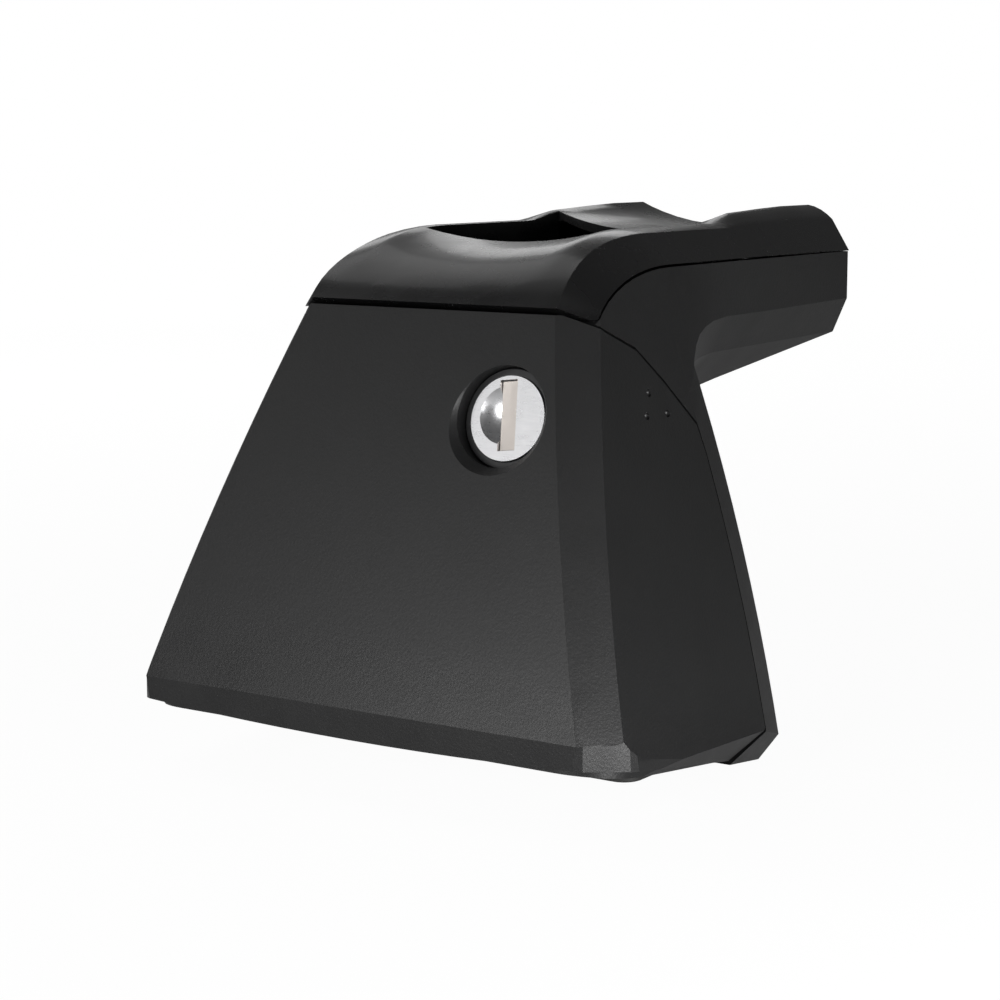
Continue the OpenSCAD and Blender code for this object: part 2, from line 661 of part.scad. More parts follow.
module clamp_washer() color([0.7, 0.7, 0.7]) at_bolt() translate([0, 0, -washer_t])
    ring(8, bolt_r + seat_gap, washer_t);

module clamp_ring() color([0.3, 0.3, 0.32]) at_bolt() translate([0, 0, carriage_len + ring_gap]) difference() {
    ring(bolt_r + 2.4, bolt_r - 0.5, ring_t);
    translate([-1.6, 0, -1]) cube([3.2, 12, 4]);
}

// Cross nut: round bar through the cheeks, tapped across for the clamp bolt
module clamp_nut() color([0.58, 0.58, 0.6]) on_base() translate([0, nut_v, bolt_w]) difference() {
    rotate([0, 90, 0]) cylinder(r = nut_r, h = 2 * (channel_half + steel_t + 0.8), center = true);
    rotate([90, 0, 0]) cylinder(r = bolt_r + run_gap, h = 3 * nut_r, center = true);
}

// Carriage: block that the bolt draws back, with two holes for the vehicle's clip
carriage_low = 11;
carriage_high = 31;
liner_t = 0.8;
carriage_half = channel_half - liner_t - slide_gap;
module clip_carriage() color([0.5, 0.5, 0.52]) on_base() difference() {
    union() {
        translate([-carriage_half, carriage_front, carriage_low])
            cube([2 * carriage_half, carriage_len, carriage_high - carriage_low]);
        translate([-carriage_half + 3, carriage_front - 0.01, carriage_low - 3]) cube([2 * carriage_half - 6, 3, 3.01]);
    }
    translate([0, carriage_front - 1, bolt_w]) rotate([-90, 0, 0]) cylinder(r = bolt_r + run_gap, h = carriage_len + 2);
    translate([-far, pin_v, pin_w]) rotate([0, 90, 0]) cylinder(r = pin_r + run_gap, h = 2 * far);
    for (side = [-1, 1]) translate([side * clip_half, pin_v + 0.5, carriage_low - 1])
        cylinder(r = clip_hole_r, h = 11);
}

pin_half = channel_half + steel_t + 3.4;
module guide_pin() color([0.7, 0.7, 0.72]) on_base() translate([-pin_half, pin_v, pin_w]) rotate([0, 90, 0]) difference() {
    cylinder(r = pin_r, h = 2 * pin_half);
    for (at = [1.2, 2 * pin_half - 1.2 - ring_t]) translate([0, 0, at - 0.05]) ring(pin_r + 1, pin_r - 0.5, ring_t + 0.1);
}

module pin_rings() color([0.3, 0.3, 0.32]) on_base() for (at = [-pin_half + 1.2, pin_half - 1.2 - ring_t])
    translate([at, pin_v, pin_w]) rotate([0, 90, 0]) difference() {
        ring(pin_r + 2, pin_r - 0.4, ring_t);
        translate([-1, 0, -1]) cube([2, 9, 4]);
    }

module carriage_liners() color([0.9, 0.9, 0.86]) on_base() for (side = [0, 1]) mirror([side, 0, 0]) difference() {
    translate([carriage_half, carriage_front, carriage_low]) cube([liner_t, carriage_len, carriage_high - carriage_low]);
    translate([0, pin_v, pin_w]) rotate([0, 90, 0]) cylinder(r = pin_r + seat_gap, h = far);
}

// Lock housing: sleeve in the cover's boss, with a groove for its clip
housing_back = -20;
clip_z = -15.4;
clip_t = 1.2;
housing_front = -core_sunk - 0.4;
module lock_housing() color([0.06, 0.06, 0.06]) at_lock() difference() {
    translate([0, 0, housing_back]) cylinder(r = recess_r - 0.15, h = housing_front - housing_back);
    translate([0, 0, housing_back - 1]) cylinder(r = core_r + run_gap, h = 40);
    translate([0, 0, clip_z - 0.1]) ring(recess_r + 2, recess_r - 0.8, clip_t + 0.2);
}

module housing_clip() color([0.6, 0.6, 0.6]) at_lock() translate([0, 0, clip_z]) difference() {
    ring(recess_r + 2, recess_r - 0.6, clip_t);
    translate([-recess_r + 0.6, -20, -1]) cube([2 * recess_r - 1.2, 20, 4]);
}

// Lock core: barrel with a dished face half, keyway and square-shouldered tail
module lock_core() color([0.82, 0.82, 0.84]) at_lock() difference() {
    union() {
        translate([0, 0, core_back]) cylinder(r = core_r, h = core_len);
        translate([0, 0, cam_front]) cylinder(r = 4, h = tail_len + 1);
        translate([-2.4, -2.4, cam_front - cam_t]) cube([4.8, 4.8, cam_t + 1]);
    }
    at_keyway() {
        translate([-keyway_w / 2, -keyway_h / 2, core_back + 3]) cube([keyway_w, keyway_h, core_len]);
        face_dish();
        for (end = [-1, 1]) translate([shutter_hinge_x, 0, shutter_hinge_z]) rotate([end * 90, 0, 0])
            cylinder(r = shutter_pin_r + 0.06, h = keyway_h / 2 + 0.5);
    }
    translate([0, 0, cam_front - cam_t - 1]) cylinder(r = 1.5, h = 8);
}

// Keyway's own frame inside the lock's, turned and a little above the middle
module at_keyway() rotate([0, 0, keyway_turn]) translate([0, core_r - keyway_h / 2 - 0.7, 0]) children();

// Finger dish in the left half of the core's face
dish_r = 5.3;
dish_depth = 2.4;
module face_dish() intersection() {
    translate([-0.6, 0, (dish_r * dish_r - dish_depth * dish_depth) / (2 * dish_depth) - core_sunk])
        sphere(r = (dish_r * dish_r + dish_depth * dish_depth) / (2 * dish_depth));
    translate([-far, -far, -far]) cube([far, 2 * far, 2 * far]);
}

// Shutter: flap across the keyway, hinged along its right edge
shutter_pin_r = 0.35;
shutter_hinge_x = keyway_w / 2 - 0.45;
shutter_hinge_z = -core_sunk - 1.1;
module key_shutter() color([0.85, 0.8, 0.76]) at_lock() at_keyway() {
    translate([shutter_hinge_x, 0, shutter_hinge_z]) rotate([90, 0, 0])
        cylinder(r = shutter_pin_r, h = keyway_h + 0.8, center = true);
    translate([shutter_hinge_x - keyway_w + 0.6, -keyway_h / 2 + 0.2, shutter_hinge_z - 0.1])
        cube([keyway_w - 0.6, keyway_h - 0.4, 0.45]);
}

module lock_cam() color([0.6, 0.6, 0.62]) at_lock() translate([0, 0, cam_front - cam_t]) difference() {
    union() {
        cylinder(r = 5, h = cam_t);
        translate([-cam_len + 4, -4, 0]) cube([cam_len - 4, 8, cam_t]);
        translate([-cam_len + 4, 0, 0]) cylinder(r = 4, h = cam_t);
    }
    translate([-2.5, -2.5, -1]) cube([5, 5, cam_t + 2]);
}

module cam_screw() color([0.5, 0.5, 0.52]) at_lock() translate([0, 0, cam_front - cam_t]) difference() {
    union() {
        translate([0, 0, -2]) cylinder(r = 3.6, h = 2);
        translate([0, 0, -0.5]) cylinder(r = 1.4, h = 6);
    }
    translate([-3, -0.4, -3]) cube([6, 0.8, 1.8]);
}

latch_w = 13.2;
latch_low = -26;
latch_high = -8.6;
module latch_plate() color([0.62, 0.62, 0.64]) difference() {
    intersection() {
        at_lock() translate([-latch_w / 2, latch_low, latch_back]) cube([latch_w, latch_high - latch_low, plate_t]);
        translate([-far, -far, shelf_z + shelf_t]) cube(2 * far);
    }
    at_lock() translate([0, latch_screw_y, latch_back - 1]) {
        cylinder(r = 1.7, h = 6);
        cylinder(r = 2.8, h = 2.1);
    }
}

module latch_screw() color([0.5, 0.5, 0.5]) at_lock() translate([0, latch_screw_y, latch_back]) difference() {
    union() {
        cylinder(r = 1.5, h = plate_t + 3);
        cylinder(r = 2.6, h = 1);
    }
    translate([-2, -0.3, -1]) cube([4, 0.6, 1.5]);
}

// Bar bolt: T-head that turns into the bar's channel, shank down through the boss to the nut
load_t = 2;
load_len = 30;
load_w = 13;
nut_h = 6.5;
nut_top = seat_z - washer_t;
module bar_bolt() color([0.6, 0.6, 0.62]) translate([0, bar_y, 0]) {
    translate([0, 0, nut_top - nut_h - bar_travel - 1]) cylinder(r = bar_r, h = tee_base - nut_top + nut_h + bar_travel + 2);
    translate([-tee_len / 2, -tee_w / 2, tee_base]) cube([tee_len, tee_w, tee_t]);
}

module bar_nut() color([0.6, 0.6, 0.62]) translate([0, bar_y, nut_top - nut_h]) difference() {
    union() {
        cylinder(r = 7.4, h = nut_h, $fn = 6);
        translate([0, 0, nut_h - 1.6]) cylinder(r = 8.6, h = 1.6);
    }
    translate([0, 0, -1]) cylinder(r = bar_r + run_gap, h = nut_h + 2);
}

washer_r = 9;
module bar_washer() color([0.7, 0.7, 0.7]) translate([0, bar_y, nut_top]) ring(washer_r, bar_r + seat_gap, washer_t);

module load_plate() color([0.5, 0.5, 0.52]) translate([0, bar_y, boss_top]) difference() {
    translate([-load_len / 2, -load_w / 2, 0]) cube([load_len, load_w, load_t]);
    translate([0, 0, -1]) cylinder(r = bar_r + seat_gap, h = load_t + 2);
}

module cap_screws() color([0.5, 0.5, 0.52]) for (side = [-1, 1]) translate([side * cap_screw_x, cap_screw_y, cap_head_z])
    difference() {
        union() {
            translate([0, 0, -cap_head_t]) cylinder(r = 3.6, h = cap_head_t);
            translate([0, 0, -0.5]) cylinder(r = cap_screw_r - 0.25, h = 15);
        }
        translate([0, 0, -cap_head_t - 1]) cylinder(r = 1.4, h = 2.4, $fn = 6);
    }

tower_body();
saddle_cap();
front_cover();
roof_pad();
chassis();
chassis_screws();
clamp_bolt();
clamp_washer();
clamp_ring();
clamp_nut();
clip_carriage();
guide_pin();
pin_rings();
carriage_liners();
lock_housing();
housing_clip();
lock_core();
key_shutter();
lock_cam();
cam_screw();
latch_plate();
latch_screw();
bar_bolt();
bar_nut();
bar_washer();
load_plate();
cap_screws();
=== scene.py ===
"""Roof bar foot: the dressed foot around its measured frame, in a plain pale studio.

Every moulding and fitting of the measured frame is taken as a mesh copy, its doubles are merged,
its edges are broken as on the real piece (all but the tower, cap and cover, whose edges stay as the
frame has them), and it gets the finish of its material. Screw threads, which the frame holds as plain
cylinders, are turned here.
"""

import json
import logging
import math
from dataclasses import dataclass, field
from enum import Enum
from typing import Callable, Optional

import bmesh
import bpy
from mathutils import Matrix, Vector


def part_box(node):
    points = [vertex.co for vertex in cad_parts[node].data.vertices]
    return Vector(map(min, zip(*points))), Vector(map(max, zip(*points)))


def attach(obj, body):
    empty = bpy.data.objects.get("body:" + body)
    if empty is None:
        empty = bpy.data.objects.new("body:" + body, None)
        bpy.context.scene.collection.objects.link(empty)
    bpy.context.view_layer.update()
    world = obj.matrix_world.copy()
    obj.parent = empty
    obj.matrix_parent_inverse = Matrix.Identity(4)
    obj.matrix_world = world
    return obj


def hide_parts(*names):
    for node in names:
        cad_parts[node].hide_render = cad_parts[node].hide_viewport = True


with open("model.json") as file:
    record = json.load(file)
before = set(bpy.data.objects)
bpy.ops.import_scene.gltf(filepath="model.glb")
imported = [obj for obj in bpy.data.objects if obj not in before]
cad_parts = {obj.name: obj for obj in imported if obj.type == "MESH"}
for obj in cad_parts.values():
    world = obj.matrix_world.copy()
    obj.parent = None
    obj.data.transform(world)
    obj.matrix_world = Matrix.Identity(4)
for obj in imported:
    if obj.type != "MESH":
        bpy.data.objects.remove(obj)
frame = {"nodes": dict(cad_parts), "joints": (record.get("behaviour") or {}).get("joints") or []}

LOG = logging.getLogger("roof_bar_foot")
MM = 0.001


class Body(Enum):
    """Moving bodies of the foot, by their names in the frame."""

    FOOT = "foot"
    COVER = "cover"
    LOCK = "lock"
    SHUTTER = "shutter"
    CARRIAGE = "carriage"
    CLAMP_SCREW = "clamp_screw"
    TEE_BOLT = "tee_bolt"
    TEE_NUT = "tee_nut"


class Slot(Enum):
    """Material slots of the foot's record."""

    BODY = "body"
    COVER = "cover"
    CAP = "cap"
    PAD = "pad"
    STEEL = "steel"
    DARK_STEEL = "dark_steel"
    LOCK_METAL = "lock_metal"
    SHUTTER = "shutter"
    HOUSING = "housing"
    LINER = "liner"


# Shader helpers


def link(tree: bpy.types.NodeTree, source: bpy.types.NodeSocket, target: bpy.types.NodeSocket) -> None:
    """Joins two sockets of a node tree."""
    tree.links.new(source, target)


def new_group(name: str, inputs: list[tuple[str, str, object]], outputs: list[tuple[str, str]]) -> bpy.types.NodeTree:
    """Starts a shader node group with named sockets.

    Args:
        name: the group's name.
        inputs: name, socket type and default of each input.
        outputs: name and socket type of each output.

    Returns:
        The group, with its input and output nodes placed.
    """
    group = bpy.data.node_groups.new(name, "ShaderNodeTree")
    for label, kind, default in inputs:
        socket = group.interface.new_socket(name=label, in_out="INPUT", socket_type=kind)
        if default is not None:
            socket.default_value = default
    for label, kind in outputs:
        group.interface.new_socket(name=label, in_out="OUTPUT", socket_type=kind)
    group.nodes.new("NodeGroupInput")
    group.nodes.new("NodeGroupOutput")
    return group


def noise(tree: bpy.types.NodeTree, vector: bpy.types.NodeSocket, scale: Optional[float], detail: float,
          roughness: float = 0.5) -> bpy.types.Node:
    """Adds a noise texture that reads the given coordinates.

    Args:
        tree: the tree that holds it.
        vector: the coordinates.
        scale: its scale, or None where a socket will drive it.
        detail: octaves of detail.
        roughness: weight of the finer octaves.

    Returns:
        The noise node.
    """
    node = tree.nodes.new("ShaderNodeTexNoise")
    link(tree, vector, node.inputs["Vector"])
    if scale is not None:
        node.inputs["Scale"].default_value = scale
    node.inputs["Detail"].default_value = detail
    node.inputs["Roughness"].default_value = roughness
    return node


def remap(tree: bpy.types.NodeTree, value: bpy.types.NodeSocket, low: float, high: float, to_low: float,
          to_high: float) -> bpy.types.Node:
    """Adds a Map Range node from low..high to to_low..to_high."""
    node = tree.nodes.new("ShaderNodeMapRange")
    link(tree, value, node.inputs["Value"])
    for name, number in (("From Min", low), ("From Max", high), ("To Min", to_low), ("To Max", to_high)):
        node.inputs[name].default_value = number
    return node


def math_node(tree: bpy.types.NodeTree, operation: str, a: object, b: object) -> bpy.types.Node:
    """Adds a Math node whose operands are sockets or numbers."""
    node = tree.nodes.new("ShaderNodeMath")
    node.operation = operation
    for index, operand in enumerate((a, b)):
        if isinstance(operand, bpy.types.NodeSocket):
            link(tree, operand, node.inputs[index])
        else:
            node.inputs[index].default_value = operand
    return node


class SurfaceEffects:
    """Shader node groups that more than one finish of the foot uses."""

    def __init__(self) -> None:
        """Builds each group once."""
        self.grain = self._grain_group()
        self.wear = self._wear_group()
        self.brushing = self._brushing_group()

    def _grain_group(self) -> bpy.types.NodeTree:
        """Spark-eroded mould grain: fine pits, patchy gloss and a faint change of tone.

        Returns:
            A group with Height, Tone and Gloss outputs.
        """
        group = new_group(
            "Mould Grain",
            [("Vector", "NodeSocketVector", None), ("Scale", "NodeSocketFloat", 2600.0)],
            [("Height", "NodeSocketFloat"), ("Tone", "NodeSocketFloat"), ("Gloss", "NodeSocketFloat")],
        )
        source, sink = group.nodes["Group Input"], group.nodes["Group Output"]
        pits = noise(group, source.outputs["Vector"], None, 3.0, 0.6)
        link(group, source.outputs["Scale"], pits.inputs["Scale"])
        cells = group.nodes.new("ShaderNodeTexVoronoi")
        cells.feature = "F1"
        link(group, source.outputs["Vector"], cells.inputs["Vector"])
        half = math_node(group, "MULTIPLY", source.outputs["Scale"], 0.55)
        link(group, half.outputs[0], cells.inputs["Scale"])
        height = math_node(group, "ADD", pits.outputs["Fac"],
                           math_node(group, "MULTIPLY", cells.outputs["Distance"], 0.45).outputs[0])
        link(group, height.outputs[0], sink.inputs["Height"])
        cloud = noise(group, source.outputs["Vector"], 38.0, 4.0, 0.55)
        link(group, remap(group, cloud.outputs["Fac"], 0.3, 0.7, 0.0, 1.0).outputs["Result"], sink.inputs["Tone"])
        flow = noise(group, source.outputs["Vector"], 95.0, 3.0, 0.5)
        link(group, remap(group, flow.outputs["Fac"], 0.3, 0.7, 0.0, 1.0).outputs["Result"], sink.inputs["Gloss"])
        return group

    def _wear_group(self) -> bpy.types.NodeTree:
        """Edge polish: a mask that is high on corners that hands and tools rub.

        Returns:
            A group with a Mask output.
        """
        group = new_group(
            "Edge Polish",
            [("Vector", "NodeSocketVector", None), ("Pointiness", "NodeSocketFloat", 0.5)],
            [("Mask", "NodeSocketFloat")],
        )
        source, sink = group.nodes["Group Input"], group.nodes["Group Output"]
        edge = remap(group, source.outputs["Pointiness"], 0.53, 0.62, 0.0, 1.0)
        patch = noise(group, source.outputs["Vector"], 120.0, 3.0, 0.6)
        broken = remap(group, patch.outputs["Fac"], 0.35, 0.65, 0.25, 1.0)
        mask = math_node(group, "MULTIPLY", edge.outputs["Result"], broken.outputs["Result"])
        link(group, mask.outputs[0], sink.inputs["Mask"])
        return group

    def _brushing_group(self) -> bpy.types.NodeTree:
        """Drawn or turned metal: streaks stretched along one direction.

        Returns:
            A group with Height and Gloss outputs.
        """
        group = new_group(
            "Metal Streaks",
            [("Vector", "NodeSocketVector", None), ("Stretch", "NodeSocketVector", (1.0, 1.0, 0.06))],
            [("Height", "NodeSocketFloat"), ("Gloss", "NodeSocketFloat")],
        )
        source, sink = group.nodes["Group Input"], group.nodes["Group Output"]
        stretched = group.nodes.new("ShaderNodeVectorMath")
        stretched.operation = "MULTIPLY"
        link(group, source.outputs["Vector"], stretched.inputs[0])
        link(group, source.outputs["Stretch"], stretched.inputs[1])
        streaks = noise(group, stretched.outputs["Vector"], 3200.0, 4.0, 0.65)
        link(group, streaks.outputs["Fac"], sink.inputs["Height"])
        cloud = noise(group, source.outputs["Vector"], 260.0, 3.0, 0.5)
        gloss = math_node(group, "ADD", math_node(group, "MULTIPLY", streaks.outputs["Fac"], 0.5).outputs[0],
                          math_node(group, "MULTIPLY", cloud.outputs["Fac"], 0.5).outputs[0])
        link(group, remap(group, gloss.outputs[0], 0.35, 0.65, 0.0, 1.0).outputs["Result"], sink.inputs["Gloss"])
        return group


@dataclass(frozen=True)
class Moulding:
    """Finish of a plastic or rubber piece."""

    name: str
    color: tuple[float, float, float]
    light_color: tuple[float, float, float]
    roughness: tuple[float, float]
    grain_scale: float
    grain_depth: float
    specular: float = 0.5
    polish: float = 0.0
    coat: float = 0.0

    def build(self, effects: SurfaceEffects) -> bpy.types.Material:
        """Makes the material.

        Args:
            effects: the shared node groups.

        Returns:
            The finished material.
        """
        material = bpy.data.materials.new(self.name)
        material.use_nodes = True
        tree = material.node_tree
        shader = tree.nodes["Principled BSDF"]
        coordinates = tree.nodes.new("ShaderNodeTexCoord").outputs["Object"]
        grain = tree.nodes.new("ShaderNodeGroup")
        grain.node_tree = effects.grain
        grain.inputs["Scale"].default_value = self.grain_scale
        link(tree, coordinates, grain.inputs["Vector"])
        tone = tree.nodes.new("ShaderNodeMix")
        tone.data_type = "RGBA"
        tone.inputs["A"].default_value = (*self.color, 1.0)
        tone.inputs["B"].default_value = (*self.light_color, 1.0)
        link(tree, grain.outputs["Tone"], tone.inputs["Factor"])
        gloss = remap(tree, grain.outputs["Gloss"], 0.0, 1.0, self.roughness[0], self.roughness[1])
        rough = gloss.outputs["Result"]
        if self.polish > 0.0:
            wear = tree.nodes.new("ShaderNodeGroup")
            wear.node_tree = effects.wear
            link(tree, coordinates, wear.inputs["Vector"])
            link(tree, tree.nodes.new("ShaderNodeNewGeometry").outputs["Pointiness"], wear.inputs["Pointiness"])
            drop = math_node(tree, "MULTIPLY", wear.outputs["Mask"], -self.polish)
            rough = math_node(tree, "ADD", rough, drop.outputs[0]).outputs[0]
        link(tree, rough, shader.inputs["Roughness"])
        link(tree, tone.outputs["Result"], shader.inputs["Base Color"])
        bump = tree.nodes.new("ShaderNodeBump")
        bump.inputs["Strength"].default_value = 1.0
        bump.inputs["Distance"].default_value = self.grain_depth
        link(tree, grain.outputs["Height"], bump.inputs["Height"])
        link(tree, bump.outputs["Normal"], shader.inputs["Normal"])
        shader.inputs["Specular IOR Level"].default_value = self.specular
        shader.inputs["Coat Weight"].default_value = self.coat
        shader.inputs["Coat Roughness"].default_value = 0.08
        return material


@dataclass(frozen=True)
class Metal:
    """Finish of a metal piece."""

    name: str
    color: tuple[float, float, float]
    light_color: tuple[float, float, float]
    roughness: tuple[float, float]
    stretch: tuple[float, float, float]
    streak_depth: float = 0.000004

    def build(self, effects: SurfaceEffects) -> bpy.types.Material:
        """Makes the material.

        Args:
            effects: the shared node groups.

        Returns:
            The finished material.
        """
        material = bpy.data.materials.new(self.name)
        material.use_nodes = True
        tree = material.node_tree
        shader = tree.nodes["Principled BSDF"]
        coordinates = tree.nodes.new("ShaderNodeTexCoord").outputs["Object"]
        streaks = tree.nodes.new("ShaderNodeGroup")
        streaks.node_tree = effects.brushing
        streaks.inputs["Stretch"].default_value = self.stretch
        link(tree, coordinates, streaks.inputs["Vector"])
        tone = tree.nodes.new("ShaderNodeMix")
        tone.data_type = "RGBA"
        tone.inputs["A"].default_value = (*self.color, 1.0)
        tone.inputs["B"].default_value = (*self.light_color, 1.0)
        link(tree, streaks.outputs["Gloss"], tone.inputs["Factor"])
        link(tree, tone.outputs["Result"], shader.inputs["Base Color"])
        gloss = remap(tree, streaks.outputs["Gloss"], 0.0, 1.0, self.roughness[0], self.roughness[1])
        link(tree, gloss.outputs["Result"], shader.inputs["Roughness"])
        bump = tree.nodes.new("ShaderNodeBump")
        bump.inputs["Strength"].default_value = 0.6
        bump.inputs["Distance"].default_value = self.streak_depth
        link(tree, streaks.outputs["Height"], bump.inputs["Height"])
        link(tree, bump.outputs["Normal"], shader.inputs["Normal"])
        shader.inputs["Metallic"].default_value = 1.0
        return material


class Finishes:
    """All finishes of the foot, one for each material slot."""

    def __init__(self) -> None:
        """Builds the materials."""
        effects = SurfaceEffects()
        steel = (0.42, 0.42, 0.44)
        recipes: dict[Slot, Moulding | Metal] = {
            Slot.BODY: Moulding("Black grained moulding", (0.0075, 0.0075, 0.0077), (0.0088, 0.0088, 0.009),
                                (0.42, 0.46), 2400.0, 0.00003, 0.42, 0.08),
            Slot.COVER: Moulding("Dark grey grained cover", (0.0075, 0.0075, 0.0077), (0.0088, 0.0088, 0.009),
                                 (0.39, 0.43), 2600.0, 0.000025, 0.42, 0.08),
            Slot.CAP: Moulding("Glossy black cap", (0.004, 0.004, 0.0042), (0.005, 0.005, 0.0052),
                               (0.24, 0.32), 900.0, 0.000003, 0.5, 0.03, 0.15),
            Slot.PAD: Moulding("Roof pad rubber", (0.012, 0.012, 0.012), (0.018, 0.018, 0.017),
                               (0.62, 0.78), 1800.0, 0.00005),
            Slot.STEEL: Metal("Zinc plated steel", steel, (0.5, 0.5, 0.5), (0.26, 0.42), (1.0, 0.08, 1.0)),
            Slot.DARK_STEEL: Metal("Black oxide steel", (0.05, 0.05, 0.055), (0.08, 0.08, 0.085), (0.34, 0.5),
                                   (1.0, 0.1, 1.0)),
            Slot.LOCK_METAL: Metal("Satin chrome lock core", (0.70, 0.70, 0.715), (0.78, 0.78, 0.79), (0.24, 0.34),
                                   (0.08, 1.0, 1.0), 0.000003),
            Slot.SHUTTER: Moulding("Pale key shutter", (0.64, 0.585, 0.54), (0.69, 0.635, 0.59), (0.38, 0.5), 2000.0,
                                   0.00001),
            Slot.HOUSING: Moulding("Satin black lock sleeve", (0.008, 0.008, 0.0085), (0.011, 0.011, 0.012),
                                   (0.3, 0.4), 2200.0, 0.000012),
            Slot.LINER: Moulding("Natural nylon liner", (0.62, 0.61, 0.56), (0.68, 0.67, 0.63), (0.4, 0.55), 1500.0,
                                 0.00002),
        }
        self._made = {slot: recipe.build(effects) for slot, recipe in recipes.items()}

    def __getitem__(self, slot: Slot) -> bpy.types.Material:
        """Returns the material of a slot."""
        return self._made[slot]


# Mesh helpers


def clean_copy(node: str) -> bmesh.types.BMesh:
    """Copies a node of the frame as a mesh with merged doubles and without its triangulation.

    Args:
        node: the node's name.

    Returns:
        A bmesh in the frame's own place.
    """
    mesh = bmesh.new()
    mesh.from_mesh(frame["nodes"][node].data)
    bmesh.ops.remove_doubles(mesh, verts=mesh.verts, dist=2e-6)
    bmesh.ops.dissolve_degenerate(mesh, dist=1e-6, edges=mesh.edges)
    bmesh.ops.dissolve_limit(mesh, angle_limit=math.radians(0.35), use_dissolve_boundaries=False,
                             verts=mesh.verts, edges=mesh.edges, delimit={"NORMAL"})
    return mesh


def edges_over(mesh: bmesh.types.BMesh, degrees: float) -> list[bmesh.types.BMEdge]:
    """Edges at which the surface turns by more than an angle."""
    limit = math.radians(degrees)
    return [e for e in mesh.edges if len(e.link_faces) == 2 and e.calc_face_angle(0.0) > limit]


def break_edges(mesh: bmesh.types.BMesh, width: float, degrees: float, segments: int = 2,
                keep: Optional[Callable[[bmesh.types.BMEdge], bool]] = None) -> None:
    """Rounds the sharp edges of a mesh by a small radius.

    Args:
        mesh: the mesh to work on.
        width: the width of the broken edge, in metres.
        degrees: only edges that turn by more than this are broken.
        segments: steps across the broken edge.
        keep: returns True for an edge that may be broken.
    """
    sharp = [e for e in edges_over(mesh, degrees) if keep is None or keep(e)]
    if not sharp:
        return
    bmesh.ops.bevel(mesh, geom=sharp, offset=width, offset_type="OFFSET", segments=segments, profile=0.5,
                    affect="EDGES", clamp_overlap=keep is None, material=-1)


def finish_mesh(mesh: bmesh.types.BMesh, name: str, body: Body, slot: Slot, finishes: Finishes,
                smooth_degrees: float, replaced: Optional[str] = None) -> bpy.types.Object:
    """Turns a bmesh into a finished piece that rides on its body.

    Args:
        mesh: the piece's mesh, which is freed.
        name: the piece's name.
        body: the body that carries it.
        slot: its material slot.
        finishes: the materials.
        smooth_degrees: edges that turn by more stay sharp.
        replaced: the frame node that the piece stands for.

    Returns:
        The piece.
    """
    for face in mesh.faces:
        face.smooth = True
    limit = math.radians(smooth_degrees)
    for edge in mesh.edges:
        edge.smooth = len(edge.link_faces) == 2 and edge.calc_face_angle(0.0) < limit
    data = bpy.data.meshes.new(name)
    mesh.to_mesh(data)
    mesh.free()
    data.materials.append(finishes[slot])
    piece = bpy.data.objects.new(name, data)
    bpy.context.scene.collection.objects.link(piece)
    normals = piece.modifiers.new("Face weighted normals", "WEIGHTED_NORMAL")
    normals.keep_sharp = True
    normals.weight = 80
    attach(piece, body.value)
    if replaced is not None:
        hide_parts(replaced)
    LOG.info("%s: %d faces on %s", name, len(data.polygons), body.value)
    return piece


@dataclass
class Fitting:
    """One node of the frame, how it is shaped and how its edges are broken."""

    node: str
    piece: str
    slot: Slot
    edge: float = 0.2 * MM
    sharp_degrees: float = 50.0
    smooth_degrees: float = 32.0
    shape: Optional[Callable[[bmesh.types.BMesh], None]] = None
    keep: Optional[Callable[[bmesh.types.BMEdge], bool]] = None
    work: Optional[Callable[[bmesh.types.BMesh], None]] = None

    def build(self, body: Body, finishes: Finishes) -> bpy.types.Object:
        """Makes the dressed piece.

        Args:
            body: the body that carries it.
            finishes: the materials.

        Returns:
            The piece.
        """
        mesh = clean_copy(self.node)
        if self.shape is not None:
            self.shape(mesh)
        if self.edge > 0.0:
            break_edges(mesh, self.edge, self.sharp_degrees, keep=self.keep)
        if self.work is not None:
            self.work(mesh)
        return finish_mesh(mesh, self.piece, body, self.slot, finishes, self.smooth_degrees, self.node)


